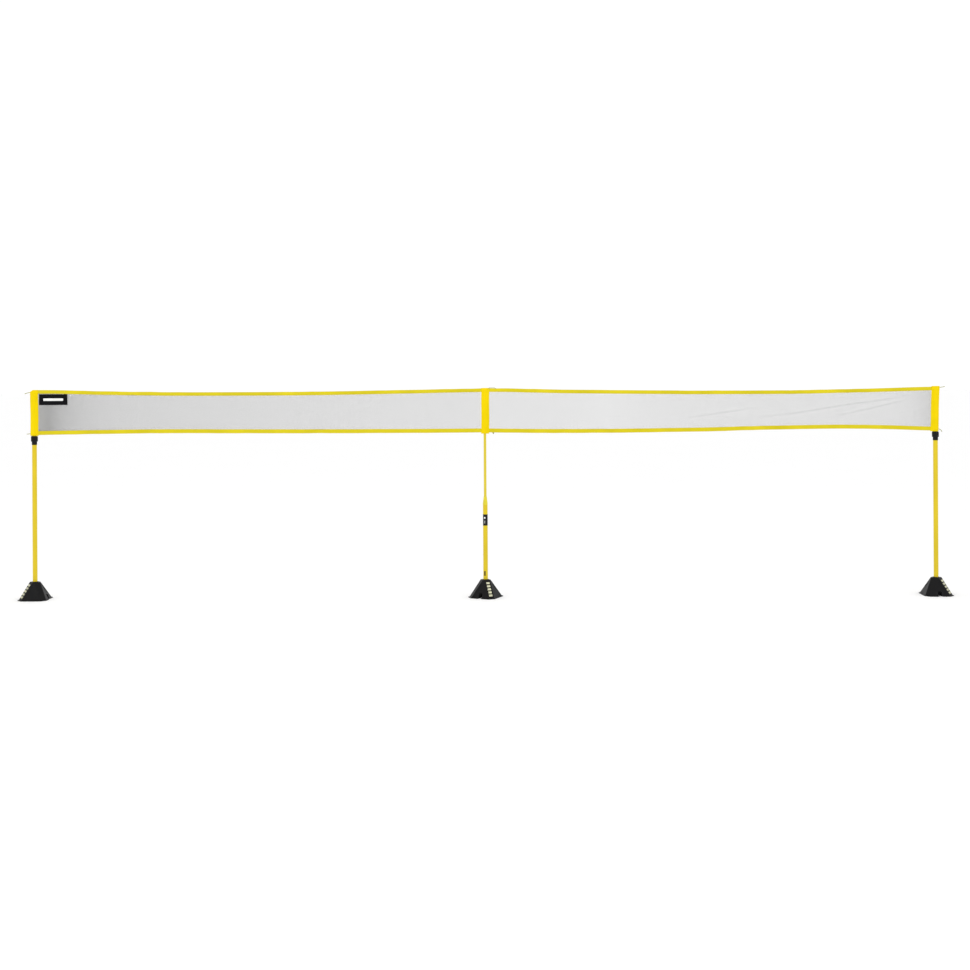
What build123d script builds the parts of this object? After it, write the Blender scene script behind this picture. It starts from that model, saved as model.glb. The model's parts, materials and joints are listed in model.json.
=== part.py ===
from build123d import *
import math
import os

# Portable training net: one long low net band on three free-standing posts.
# Millimetres. +X runs along the net, -Y is the front, +Z is up.
# The origin is on the ground, under the middle post, at the centre of the whole set.

os.makedirs("parts", exist_ok=True)

# ---------------------------------------------------------------- driving dimensions
POST_X = 2722.0          # end posts stand at +-POST_X, the middle one at 0

# posts
TUBE_R = 14.0            # lower tubes, outside radius
TUBE_WALL = 1.2
TUBE_FOOT_Z = 36.0       # where the tube ends inside its base
END_TUBE_TOP = 962.0
MID_TUBE_TOP = 556.0
UPPER_R = 11.0           # telescoping tube of an end post
UPPER_WALL = 1.0
UPPER_BOTTOM = 535.0
UPPER_TOP = 1239.0
MAST_R = 8.0             # thin telescoping tube of the middle post
MAST_WALL = 0.9
MAST_BOTTOM = 176.0
MAST_TOP = 1238.0
RUN_FIT = 0.08           # radial clearance of a running fit

# twist locks on the end posts
LOCK_SKIRT_Z = 932.0
LOCK_NUT_Z = 951.5
LOCK_TOP_Z = 985.0
LOCK_NUT_R = 20.5
LOCK_SKIRT_R = 15.6
LOCK_SPIGOT_R = 16.45

# bases: a square pyramid with its corners cut to strips of one width
BASE_H = 105.0
BASE_A0 = 84.5           # half the distance between opposite main faces, at the ground
BASE_A1 = 31.0           # the same at the top
STRIP = 37.0             # width of a corner strip
BASE_WALL = 3.5
LIP = 3.5                # flange round the foot
LIP_H = 4.0
SLOT_W = 23.0            # slot that runs under the base, face to face
SLOT_H = 30.0
SOCKET_FLOOR = 34.0
TRAY_T = 4.0

# net
SLEEVE_W = 48.0
SLEEVE_Z0 = 986.0
TOP_HEM_H = 22.0
BOTTOM_HEM_H = 24.0
HEM_T = 6.4
HEM_POCKET_T = 5.2
MESH_T = 0.8
CORD_R = 2.0

# Centreline of each hem, (X, Z). The band sags between posts and is not quite even.
TOP_LEFT = [(-2698, 1252), (-2568, 1250.5), (-2447, 1247), (-2326, 1243.1), (-2205, 1240.6),
            (-2084, 1238.2), (-1964, 1236.3), (-1722, 1234.1), (-1359, 1233.4), (-1118, 1233.7),
            (-876, 1235.4), (-634, 1239.0), (-393, 1242.5), (-151, 1246.4), (-24, 1248.3)]
TOP_RIGHT = [(24, 1248.8), (91, 1248.2), (332, 1241.7), (574, 1236.8), (816, 1233.7),
             (1057, 1230.6), (1178, 1228.9), (1420, 1227.5), (1662, 1227.1), (1903, 1227.6),
             (2024, 1229.5), (2145, 1231.7), (2266, 1234.0), (2387, 1236.6), (2507, 1239.7),
             (2628, 1242.7), (2698, 1244.2)]
BOTTOM_LEFT = [(-2698, 1003.6), (-2628, 1004.4), (-2447, 1006.5), (-2205, 1009.0), (-1964, 1010.2),
               (-1722, 1009.3), (-1239, 1006.3), (-876, 1005.0), (-514, 1004.4), (-272, 1004.5),
               (-24, 1005.4)]
BOTTOM_RIGHT = [(24, 1004.8), (91, 1003.6), (332, 1000.2), (695, 998.6), (937, 999.7),
                (1057, 1001.2), (1299, 1003.7), (1420, 1006.2), (1541, 1009.2), (1662, 1011.6),
                (1782, 1013.4), (1903, 1015.1), (2084, 1016.7), (2145, 1016.6), (2266, 1015.6),
                (2387, 1013.2), (2507, 1009.6), (2628, 1004.6), (2698, 1002.5)]


def post_frame(x, yaw_deg):
    """The ground frame of a post: origin on the ground, x_dir along the slot of its base."""
    a = math.radians(yaw_deg)
    return Plane(origin=(x, 0, 0), x_dir=(math.cos(a), math.sin(a), 0), z_dir=(0, 0, 1))


LEFT = post_frame(-POST_X, 0)
MIDDLE = post_frame(0, 65)
RIGHT = post_frame(POST_X, 90)


# ---------------------------------------------------------------- bases
def half_side(z):
    return BASE_A0 + (BASE_A1 - BASE_A0) * z / BASE_H


def octagon(a, cut):
    """Corners of a square of half side a whose corners are cut by `cut` along each side."""
    b = a - cut
    return [(a, -b), (a, b), (b, a), (-b, a), (-a, b), (-a, -b), (-b, -a), (b, -a)]


CUT = STRIP / math.sqrt(2)
CUT_IN = CUT - 2.05      # inside, so that the wall is as thick at a strip as at a main face


def base_shell(ground):
    """Moulded outer shell: pyramid, foot flange, socket for the post, slot notches, screw posts."""
    with BuildPart() as shell:
        with BuildSketch(ground):
            Polygon(*octagon(half_side(0), CUT), align=None)
        with BuildSketch(ground.offset(BASE_H)):
            Polygon(*octagon(half_side(BASE_H), CUT), align=None)
        loft(ruled=True)
        # rounded moulding corners: the eight slanting edges, then the rim of the top
        fillet(shell.edges().filter_by(lambda e: abs((e @ 1 - e @ 0).Z) > 50), radius=5)
        fillet(shell.faces().sort_by(Axis.Z)[-1].edges(), radius=3)
        with BuildSketch(ground):
            Polygon(*octagon(BASE_A0 + LIP, CUT + LIP * 0.6), align=None)
        extrude(amount=LIP_H)
        # a shallow panel let into each main face
        slope = math.atan2(BASE_A0 - BASE_A1, BASE_H)
        for k in range(4):
            turn = math.radians(90 * k)
            zc = 52.0
            centre = (half_side(zc) * math.cos(turn), half_side(zc) * math.sin(turn), zc)
            normal = (math.cos(slope) * math.cos(turn), math.cos(slope) * math.sin(turn), math.sin(slope))
            across = (-math.sin(turn), math.cos(turn), 0)
            face = Plane(
                origin=ground.from_local_coords(Vector(*centre)),
                x_dir=ground.from_local_coords(Vector(*across)) - ground.origin,
                z_dir=ground.from_local_coords(Vector(*normal)) - ground.origin,
            )
            with BuildSketch(face.offset(2)):
                with BuildLine():
                    Polyline((-17, 8), (-9, 34), (9, 34), (17, 8), (38, -18), (-38, -18), close=True)
                make_face()
            extrude(amount=-3.2, mode=Mode.SUBTRACT)
        # hollow inside
        with BuildSketch(ground):
            Polygon(*octagon(half_side(0) - BASE_WALL, CUT_IN), align=None)
        with BuildSketch(ground.offset(BASE_H - 10)):
            Polygon(*octagon(half_side(BASE_H - 10) - BASE_WALL, CUT_IN), align=None)
        loft(ruled=True, mode=Mode.SUBTRACT)
        # socket tube for the post
        with BuildSketch(ground.offset(SLOT_H + 1.8)):
            Circle(17)
        extrude(amount=BASE_H - SLOT_H - 1.8)
        with BuildSketch(ground.offset(SOCKET_FLOOR)):
            Circle(TUBE_R + 0.3)
        extrude(amount=BASE_H, mode=Mode.SUBTRACT)
        with BuildSketch(ground.offset(BASE_H - 6)):
            Circle(19)
        extrude(amount=20, mode=Mode.SUBTRACT)
        # the notches that the slot leaves in two opposite main faces
        with BuildSketch(ground):
            Rectangle(260, SLOT_W)
        extrude(amount=SLOT_H, mode=Mode.SUBTRACT)
        # screw posts
        with BuildSketch(ground.offset(TRAY_T + 0.3)):
            with GridLocations(90, 90, 2, 2):
                Circle(5)
        extrude(amount=38)
        with BuildSketch(ground.offset(TRAY_T + 0.3)):
            with GridLocations(90, 90, 2, 2):
                Circle(1.6)
        extrude(amount=20, mode=Mode.SUBTRACT)
    return shell


def base_tray(ground):
    """Bottom cover: a plate with the slot's two walls and its roof."""
    with BuildPart() as tray:
        with BuildSketch(ground):
            Rectangle(170, 170)
        extrude(amount=TRAY_T)
        with BuildSketch(ground):
            Rectangle(170, SLOT_W + 3.2)
        extrude(amount=SLOT_H + 1.5)
        with BuildSketch(ground):
            Polygon(*octagon(half_side(0) - BASE_WALL - 0.3, CUT_IN), align=None)
        with BuildSketch(ground.offset(BASE_H - 5)):
            Polygon(*octagon(half_side(BASE_H - 5) - BASE_WALL - 0.3, CUT_IN), align=None)
        loft(ruled=True, mode=Mode.INTERSECT)
        with BuildSketch(ground):
            Rectangle(260, SLOT_W)
        extrude(amount=SLOT_H, mode=Mode.SUBTRACT)
        with BuildSketch(ground):
            with GridLocations(90, 90, 2, 2):
                Circle(3.7)
        extrude(amount=2.6, mode=Mode.SUBTRACT)
        with BuildSketch(ground):
            with GridLocations(90, 90, 2, 2):
                Circle(1.8)
        extrude(amount=TRAY_T, mode=Mode.SUBTRACT)
    return tray


def base_ballast(ground):
    """Moulded weight that fills the space between shell and tray."""
    top = BASE_H - 12
    with BuildPart() as ballast:
        with BuildSketch(ground.offset(TRAY_T + 0.4)):
            Polygon(*octagon(half_side(TRAY_T + 0.4) - BASE_WALL - 1.2, CUT_IN), align=None)
        with BuildSketch(ground.offset(top)):
            Polygon(*octagon(half_side(top) - BASE_WALL - 1.2, CUT_IN), align=None)
        loft(ruled=True)
        with BuildSketch(ground):
            Rectangle(260, SLOT_W + 4.2)
        extrude(amount=SLOT_H + 2.0, mode=Mode.SUBTRACT)
        with BuildSketch(ground):
            Circle(17.5)
        extrude(amount=BASE_H, mode=Mode.SUBTRACT)
        with BuildSketch(ground):
            with GridLocations(90, 90, 2, 2):
                Circle(5.6)
        extrude(amount=TRAY_T + 39.5, mode=Mode.SUBTRACT)
    return ballast


def base_bush(ground):
    """Ring let into the top of the shell, which the post turns in."""
    with BuildPart() as bush:
        with BuildSketch(ground.offset(BASE_H - 6)):
            Circle(19)
            Circle(TUBE_R + RUN_FIT, mode=Mode.SUBTRACT)
        extrude(amount=8)
        chamfer(bush.edges().filter_by(GeomType.CIRCLE).group_by(Axis.Z)[-1].sort_by(SortBy.RADIUS)[-1], length=1.2)
    return bush


def base_screws(ground):
    """Self-tapping screws that hold the bottom cover."""
    with BuildPart() as screws:
        with BuildSketch(ground.offset(0.5)):
            with GridLocations(90, 90, 2, 2):
                Circle(3.3)
        extrude(amount=2.1)
        with BuildSketch(ground.offset(2.6)):
            with GridLocations(90, 90, 2, 2):
                Circle(1.5)
        extrude(amount=18)
        with BuildSketch(ground.offset(0.5)):
            with GridLocations(90, 90, 2, 2):
                RegularPolygon(1.4, 6)
        extrude(amount=1.2, mode=Mode.SUBTRACT)
    return screws


def base_pads(ground):
    """Five plain raised grips, each a pair of slim level bars, down one corner strip."""
    d0, d1 = [(2 * half_side(z) - CUT) / math.sqrt(2) for z in (0, BASE_H)]
    rise = math.atan2(d0 - d1, BASE_H)            # lean of a corner strip from the vertical
    diag = math.radians(225)                      # the corner at local (-x, -y)
    n = (math.cos(rise) * math.cos(diag), math.cos(rise) * math.sin(diag), math.sin(rise))
    across = (-math.sin(diag), math.cos(diag), 0)
    zc = 53.0
    d = (2 * half_side(zc) - CUT) / math.sqrt(2)
    face = Plane(
        origin=ground.from_local_coords(Vector(d * math.cos(diag), d * math.sin(diag), zc)),
        x_dir=ground.from_local_coords(Vector(*across)) - ground.origin,
        z_dir=ground.from_local_coords(Vector(*n)) - ground.origin,
    )
    with BuildPart() as pads:
        with BuildSketch(face):
            with GridLocations(0, 20.5, 1, 5):
                with GridLocations(0, 6.6, 1, 2):
                    RectangleRounded(21, 4.4, 2.0)
        extrude(amount=2.6)
    return pads


left_base_shell = base_shell(LEFT)
left_base_shell.part.label = "left_base_shell"
middle_base_shell = base_shell(MIDDLE)
middle_base_shell.part.label = "middle_base_shell"
right_base_shell = base_shell(RIGHT)
right_base_shell.part.label = "right_base_shell"

left_base_tray = base_tray(LEFT)
left_base_tray.part.label = "left_base_tray"
middle_base_tray = base_tray(MIDDLE)
middle_base_tray.part.label = "middle_base_tray"
right_base_tray = base_tray(RIGHT)
right_base_tray.part.label = "right_base_tray"

left_base_ballast = base_ballast(LEFT)
left_base_ballast.part.label = "left_base_ballast"
middle_base_ballast = base_ballast(MIDDLE)
middle_base_ballast.part.label = "middle_base_ballast"
right_base_ballast = base_ballast(RIGHT)
right_base_ballast.part.label = "right_base_ballast"

left_base_bush = base_bush(LEFT)
left_base_bush.part.label = "left_base_bush"
middle_base_bush = base_bush(MIDDLE)
middle_base_bush.part.label = "middle_base_bush"
right_base_bush = base_bush(RIGHT)
right_base_bush.part.label = "right_base_bush"

left_base_screws = base_screws(LEFT)
left_base_screws.part.label = "left_base_screws"
middle_base_screws = base_screws(MIDDLE)
middle_base_screws.part.label = "middle_base_screws"
right_base_screws = base_screws(RIGHT)
right_base_screws.part.label = "right_base_screws"

left_base_pads = base_pads(LEFT)
left_base_pads.part.label = "left_base_pads"
middle_base_pads = base_pads(MIDDLE)
middle_base_pads.part.label = "middle_base_pads"
right_base_pads = base_pads(RIGHT)
right_base_pads.part.label = "right_base_pads"


# ---------------------------------------------------------------- posts
def tube(x, r, wall, z0, z1):
    with BuildPart() as t:
        with BuildSketch(Plane.XY.offset(z0)):
            with Locations((x, 0)):
                Circle(r)
                Circle(r - wall, mode=Mode.SUBTRACT)
        extrude(amount=z1 - z0)
    return t


def turned(x, profile):
    """A solid of revolution about the post at x, from (radius, z) corners."""
    with BuildPart() as t:
        with BuildSketch(Plane(origin=(x, 0, 0), x_dir=(1, 0, 0), z_dir=(0, -1, 0))):
            with BuildLine():
                Polyline(*profile, close=True)
            make_face()
        revolve(axis=Axis((x, 0, 0), (0, 0, 1)))
    return t


left_outer_tube = tube(-POST_X, TUBE_R, TUBE_WALL, TUBE_FOOT_Z, END_TUBE_TOP)
left_outer_tube.part.label = "left_outer_tube"
right_outer_tube = tube(POST_X, TUBE_R, TUBE_WALL, TUBE_FOOT_Z, END_TUBE_TOP)
right_outer_tube.part.label = "right_outer_tube"
middle_outer_tube = tube(0, TUBE_R, TUBE_WALL, TUBE_FOOT_Z, MID_TUBE_TOP)
middle_outer_tube.part.label = "middle_outer_tube"

left_upper_tube = tube(-POST_X, UPPER_R, UPPER_WALL, UPPER_BOTTOM, UPPER_TOP)
left_upper_tube.part.label = "left_upper_tube"
right_upper_tube = tube(POST_X, UPPER_R, UPPER_WALL, UPPER_BOTTOM, UPPER_TOP)
right_upper_tube.part.label = "right_upper_tube"
middle_upper_tube = tube(0, MAST_R, MAST_WALL, MAST_BOTTOM, MAST_TOP)
middle_upper_tube.part.label = "middle_upper_tube"

# plug in the foot of each lower tube, standing on the socket floor
FOOT_PLUG = [(0, SOCKET_FLOOR), (12.6, SOCKET_FLOOR), (13.6, SOCKET_FLOOR + 1), (13.6, TUBE_FOOT_Z),
             (TUBE_R - TUBE_WALL, TUBE_FOOT_Z), (TUBE_R - TUBE_WALL, TUBE_FOOT_Z + 18), (0, TUBE_FOOT_Z + 18)]
left_foot_plug = turned(-POST_X, FOOT_PLUG)
left_foot_plug.part.label = "left_foot_plug"
middle_foot_plug = turned(0, FOOT_PLUG)
middle_foot_plug.part.label = "middle_foot_plug"
right_foot_plug = turned(POST_X, FOOT_PLUG)
right_foot_plug.part.label = "right_foot_plug"

# guide plug in the foot of each telescoping end tube, running in the lower tube
GUIDE_PLUG = [(0, UPPER_BOTTOM - 16), (11.7, UPPER_BOTTOM - 16), (TUBE_R - TUBE_WALL - RUN_FIT, UPPER_BOTTOM - 15),
              (TUBE_R - TUBE_WALL - RUN_FIT, UPPER_BOTTOM), (UPPER_R - UPPER_WALL, UPPER_BOTTOM),
              (UPPER_R - UPPER_WALL, UPPER_BOTTOM + 20), (0, UPPER_BOTTOM + 20)]
left_guide_plug = turned(-POST_X, GUIDE_PLUG)
left_guide_plug.part.label = "left_guide_plug"
right_guide_plug = turned(POST_X, GUIDE_PLUG)
right_guide_plug.part.label = "right_guide_plug"

# caps on the tops of the telescoping tubes
TOP_CAP = [(0, UPPER_TOP - 12), (UPPER_R - UPPER_WALL, UPPER_TOP - 12), (UPPER_R - UPPER_WALL, UPPER_TOP), (11.5, UPPER_TOP),
           (11.5, UPPER_TOP + 2.6), (9.5, UPPER_TOP + 4.6), (0, UPPER_TOP + 5.2)]
left_top_cap = turned(-POST_X, TOP_CAP)
left_top_cap.part.label = "left_top_cap"
right_top_cap = turned(POST_X, TOP_CAP)
right_top_cap.part.label = "right_top_cap"
MAST_CAP = [(0, MAST_TOP - 12), (MAST_R - MAST_WALL, MAST_TOP - 12), (MAST_R - MAST_WALL, MAST_TOP), (8.6, MAST_TOP),
            (8.6, MAST_TOP + 2.2), (7.0, MAST_TOP + 4.2), (0, MAST_TOP + 4.8)]
middle_top_cap = turned(0, MAST_CAP)
middle_top_cap.part.label = "middle_top_cap"

# twist lock: body pressed on the lower tube, split collet round the telescoping tube, turning nut
LOCK_BODY = [(TUBE_R, LOCK_SKIRT_Z), (LOCK_SKIRT_R - 0.8, LOCK_SKIRT_Z), (LOCK_SKIRT_R, LOCK_SKIRT_Z + 1.2),
             (LOCK_SKIRT_R, LOCK_NUT_Z - 1.0), (LOCK_SPIGOT_R, LOCK_NUT_Z - 0.5), (LOCK_SPIGOT_R, 966), (14.6, 966),
             (14.6, END_TUBE_TOP), (TUBE_R, END_TUBE_TOP)]


def lock_body(x):
    with BuildPart() as body:
        with BuildSketch(Plane(origin=(x, 0, 0), x_dir=(1, 0, 0), z_dir=(0, -1, 0))):
            with BuildLine():
                Polyline(*LOCK_BODY, close=True)
            make_face()
        revolve(axis=Axis((x, 0, 0), (0, 0, 1)))
        # upright grooves moulded in the skirt
        with BuildSketch(Plane.XY.offset(LOCK_SKIRT_Z + 3)):
            with Locations((x, 0)):
                with PolarLocations(LOCK_SKIRT_R + 0.6, 14):
                    Circle(1.1)
        extrude(amount=LOCK_NUT_Z - LOCK_SKIRT_Z - 6, mode=Mode.SUBTRACT)
    return body


def collet(x):
    with BuildPart() as ring:
        with BuildSketch(Plane(origin=(x, 0, 0), x_dir=(1, 0, 0), z_dir=(0, -1, 0))):
            with BuildLine():
                Polyline((UPPER_R + RUN_FIT, END_TUBE_TOP), (14.0, END_TUBE_TOP), (14.0, END_TUBE_TOP + 4),
                         (12.4, END_TUBE_TOP + 16), (UPPER_R + RUN_FIT, END_TUBE_TOP + 16), close=True)
            make_face()
        revolve(axis=Axis((x, 0, 0), (0, 0, 1)))
        with BuildSketch(Plane.XY.offset(END_TUBE_TOP - 1)):
            with Locations((x, 12)):
                Rectangle(2.2, 10)
        extrude(amount=20, mode=Mode.SUBTRACT)
    return ring


def lock_nut(x):
    profile = [(LOCK_SPIGOT_R + 0.1, LOCK_NUT_Z), (18.4, LOCK_NUT_Z), (LOCK_NUT_R, LOCK_NUT_Z + 3.5),
               (LOCK_NUT_R, LOCK_TOP_Z - 5), (17.2, LOCK_TOP_Z), (UPPER_R + 0.35, LOCK_TOP_Z),
               (UPPER_R + 0.35, 980), (12.8, 980), (14.4, 968), (LOCK_SPIGOT_R + 0.1, 968)]
    with BuildPart() as nut:
        with BuildSketch(Plane(origin=(x, 0, 0), x_dir=(1, 0, 0), z_dir=(0, -1, 0))):
            with BuildLine():
                Polyline(*profile, close=True)
            make_face()
        revolve(axis=Axis((x, 0, 0), (0, 0, 1)))
        # finger flutes between ten grip lobes
        with BuildSketch(Plane.XY.offset(LOCK_NUT_Z + 2.5)):
            with Locations((x, 0)):
                with PolarLocations(LOCK_NUT_R + 1.6, 10, start_angle=9):
                    Circle(3.4)
        extrude(amount=LOCK_TOP_Z, mode=Mode.SUBTRACT)
    return nut


left_lock_body = lock_body(-POST_X)
left_lock_body.part.label = "left_lock_body"
right_lock_body = lock_body(POST_X)
right_lock_body.part.label = "right_lock_body"
left_collet = collet(-POST_X)
left_collet.part.label = "left_collet"
right_collet = collet(POST_X)
right_collet.part.label = "right_collet"
left_lock_nut = lock_nut(-POST_X)
left_lock_nut.part.label = "left_lock_nut"
right_lock_nut = lock_nut(POST_X)
right_lock_nut.part.label = "right_lock_nut"

# middle post: tapered reducer on the lower tube, thin mast through it, cam lock on the mast's foot
middle_reducer = turned(0, [(MAST_R + RUN_FIT, 530), (12.2, 530), (TUBE_R - TUBE_WALL, 531), (TUBE_R - TUBE_WALL, MID_TUBE_TOP),
                            (14.7, MID_TUBE_TOP), (14.7, MID_TUBE_TOP + 7), (9.6, MID_TUBE_TOP + 46), (9.2, MID_TUBE_TOP + 50),
                            (MAST_R + RUN_FIT, MID_TUBE_TOP + 50)])
middle_reducer.part.label = "middle_reducer"

with BuildPart() as middle_cam_hub:
    with BuildSketch(Plane.XY.offset(MAST_BOTTOM)):
        Circle(MAST_R - MAST_WALL)
    extrude(amount=18)
    with BuildSketch(Plane.XY.offset(MAST_BOTTOM - 4)):
        Circle(10.5)
    extrude(amount=4)
    # eccentric that the expander ring rides on
    with BuildSketch(Plane.XY.offset(MAST_BOTTOM - 18)):
        with Locations((1.2, 0)):
            Circle(7.0)
    extrude(amount=14)
    with BuildSketch(Plane.XY.offset(MAST_BOTTOM - 21)):
        Circle(10.5)
    extrude(amount=3)
middle_cam_hub.part.label = "middle_cam_hub"

with BuildPart() as middle_cam_ring:
    with BuildSketch(Plane.XY.offset(MAST_BOTTOM - 17.7)):
        Circle(TUBE_R - TUBE_WALL - RUN_FIT)
        with Locations((1.2, 0)):
            Circle(7.1, mode=Mode.SUBTRACT)
        with Locations((-11, 0)):
            Rectangle(12, 2.4, mode=Mode.SUBTRACT)
    extrude(amount=13.4)
middle_cam_ring.part.label = "middle_cam_ring"

# printed band round the middle post, and a small mark near its foot
with BuildPart() as middle_label:
    with BuildSketch(Plane.XY.offset(431)):
        Circle(TUBE_R + 0.45)
        Circle(TUBE_R, mode=Mode.SUBTRACT)
    extrude(amount=68)
middle_label.part.label = "middle_label"

with BuildPart() as middle_mark:
    with BuildSketch(Plane.XY.offset(129)):
        Circle(TUBE_R + 0.4)
        Circle(TUBE_R, mode=Mode.SUBTRACT)
        with BuildLine(mode=Mode.ADD):
            a0, a1 = math.radians(232), math.radians(270)
            Polyline((0, 0), (30 * math.cos(a0), 30 * math.sin(a0)), (30 * math.cos(a1), 30 * math.sin(a1)), close=True)
        make_face(mode=Mode.INTERSECT)
    extrude(amount=28)
middle_mark.part.label = "middle_mark"


# ---------------------------------------------------------------- net
def band(line, up, down):
    """Corners of a band that follows a centreline, from `down` under it to `up` over it."""
    return [(x, z + up) for x, z in line] + [(x, z - down) for x, z in reversed(line)]


def hem(line, height):
    """Folded tape with an open pocket along it for the tension cord."""
    with BuildPart() as h:
        with BuildSketch(Plane.XZ):
            with BuildLine():
                Polyline(*band(line, height / 2, height / 2), close=True)
            make_face()
        extrude(amount=HEM_T / 2, both=True)
        with BuildSketch(Plane.XZ):
            with BuildLine():
                Polyline(*band(line, height / 2 - 3, height / 2 - 3), close=True)
            make_face()
        extrude(amount=HEM_POCKET_T / 2, both=True, mode=Mode.SUBTRACT)
    return h


def mesh_panel(top, bottom):
    """Net cloth between the two hems."""
    with BuildPart() as m:
        with BuildSketch(Plane.XZ):
            with BuildLine():
                Polyline(*[(x, z - TOP_HEM_H / 2) for x, z in top],
                         *[(x, z + BOTTOM_HEM_H / 2) for x, z in reversed(bottom)], close=True)
            make_face()
        extrude(amount=MESH_T / 2, both=True)
    return m


left_top_hem = hem(TOP_LEFT, TOP_HEM_H)
left_top_hem.part.label = "left_top_hem"
right_top_hem = hem(TOP_RIGHT, TOP_HEM_H)
right_top_hem.part.label = "right_top_hem"
left_bottom_hem = hem(BOTTOM_LEFT, BOTTOM_HEM_H)
left_bottom_hem.part.label = "left_bottom_hem"
right_bottom_hem = hem(BOTTOM_RIGHT, BOTTOM_HEM_H)
right_bottom_hem.part.label = "right_bottom_hem"
left_mesh = mesh_panel(TOP_LEFT, BOTTOM_LEFT)
left_mesh.part.label = "left_mesh"
right_mesh = mesh_panel(TOP_RIGHT, BOTTOM_RIGHT)
right_mesh.part.label = "right_mesh"


def sleeve(x, z1, front, rear, top_cord_z, bottom_cord_z):
    """Pole sleeve: a flat fabric tube, closed at the top, with slits where the cords pass its seams."""
    w = SLEEVE_W / 2
    wall = 1.0
    with BuildPart() as s:
        with BuildSketch(Plane.XY.offset(SLEEVE_Z0)):
            with BuildLine():
                ThreePointArc((x - w, -3.2), (x, -front), (x + w, -3.2))
                Line((x + w, -3.2), (x + w, 3.2))
                ThreePointArc((x + w, 3.2), (x, rear), (x - w, 3.2))
                Line((x - w, 3.2), (x - w, -3.2))
            make_face()
        extrude(amount=z1 - SLEEVE_Z0)
        with BuildSketch(Plane.XY.offset(SLEEVE_Z0)):
            with BuildLine():
                ThreePointArc((x - w + wall, -2.4), (x, wall - front), (x + w - wall, -2.4))
                Line((x + w - wall, -2.4), (x + w - wall, 2.4))
                ThreePointArc((x + w - wall, 2.4), (x, rear - wall), (x - w + wall, 2.4))
                Line((x - w + wall, 2.4), (x - w + wall, -2.4))
            make_face()
        extrude(amount=z1 - SLEEVE_Z0 - 1.2, mode=Mode.SUBTRACT)
        for zc in (top_cord_z, bottom_cord_z):
            with BuildSketch(Plane.XY.offset(zc - 5.5)):
                with Locations((x - w, 0.6), (x + w, 0.6)):
                    Rectangle(7, 6.4)
            extrude(amount=11, mode=Mode.SUBTRACT)
    return s


left_sleeve = sleeve(-POST_X, 1264, 13.0, 19.5, 1252, 1001.5)
left_sleeve.part.label = "left_sleeve"
middle_sleeve = sleeve(0, 1262, 10.5, 16.0, 1249, 1005)
middle_sleeve.part.label = "middle_sleeve"
right_sleeve = sleeve(POST_X, 1260, 13.0, 19.5, 1248, 1000.5)
right_sleeve.part.label = "right_sleeve"

# sewn label on the front of the left panel
with BuildPart() as net_patch:
    with BuildSketch(Plane.XZ.offset(MESH_T / 2)):
        with Locations((-2607, 1204.7)):
            Rectangle(172, 65.4)
    extrude(amount=1.5)
net_patch.part.label = "net_patch"


# ---------------------------------------------------------------- cords
def radii(points):
    """For each corner, as large as its two runs allow."""
    out = []
    for a, b, c in zip(points, points[1:], points[2:]):
        u, v = Vector(*b) - Vector(*a), Vector(*c) - Vector(*b)
        turn = math.radians(u.get_angle(v))
        out.append(0.45 * min(u.length, v.length) / math.tan(turn / 2))
    return out


def cord(points, r):
    bends = radii(points)
    with BuildPart() as c:
        with BuildLine() as route:
            FilletPolyline(*points, radius=bends)
        with BuildSketch(Plane(origin=route.line @ 0, z_dir=route.line % 0)):
            Circle(r)
        sweep(path=route.line)
    length = route.wires()[0].length
    print("cord", round(length, 1), "mm; smallest bend", round(min(bends), 1),
          "mm; volume ratio", round(c.part.volume / (length * math.pi * r * r), 4))
    return c


TOP_CORD = [(-2780, 0, 1240.5), (-2752, 0, 1249.5), (-2722, 0, 1251.8), (-2640, 0, 1251.2), (-2450, 0, 1247.2),
            (-2205, 0, 1240.8), (-1960, 0, 1236.6), (-1650, 0, 1234.3), (-1240, 0, 1233.7), (-880, 0, 1235.9),
            (-520, 0, 1240.6), (-240, 0, 1245.4), (-90, 0, 1248.4), (0, 0, 1249.2), (90, 0, 1248.0),
            (300, 0, 1242.8), (600, 0, 1236.6), (960, 0, 1231.9), (1300, 0, 1228.6), (1650, 0, 1227.4),
            (1920, 0, 1228.3), (2170, 0, 1232.6), (2400, 0, 1237.4), (2600, 0, 1242.2), (2706, 0, 1246.4),
            (2748, 0, 1250.2), (2780, 0, 1255.5)]
top_cord = cord(TOP_CORD, CORD_R)
top_cord.part.label = "top_cord"

# the bottom cord passes behind each post inside its sleeve
BOTTOM_CORD = [(-2768, 0, 997.0), (-2742, 0, 999.4), (-2730, 14, 1000.4), (-2714, 14, 1001.6), (-2702, 0, 1002.6),
               (-2670, 0, 1004.2), (-2600, 0, 1005.6), (-2440, 0, 1007.2), (-2205, 0, 1009.2), (-1960, 0, 1010.0),
               (-1650, 0, 1008.8), (-1240, 0, 1006.4), (-880, 0, 1005.1), (-520, 0, 1004.5), (-240, 0, 1004.9),
               (-100, 0, 1005.4), (-48, 0, 1005.3), (-18, 0, 1005.2), (-6.5, 11, 1005.1), (6.5, 11, 1005.0), (18, 0, 1004.9),
               (48, 0, 1004.4), (120, 0, 1003.0), (330, 0, 1000.8), (660, 0, 999.3), (940, 0, 1000.4),
               (1200, 0, 1003.4), (1450, 0, 1007.6), (1700, 0, 1012.0), (1950, 0, 1015.2), (2150, 0, 1015.9),
               (2340, 0, 1013.4), (2500, 0, 1009.2), (2610, 0, 1005.6), (2672, 0, 1003.4), (2702, 0, 1002.0),
               (2714, 14, 1001.2), (2730, 14, 1000.2), (2742, 0, 999.2), (2756, 0.5, 996.0), (2762, 1, 983.0)]
bottom_cord = cord(BOTTOM_CORD, CORD_R)
bottom_cord.part.label = "bottom_cord"

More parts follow.
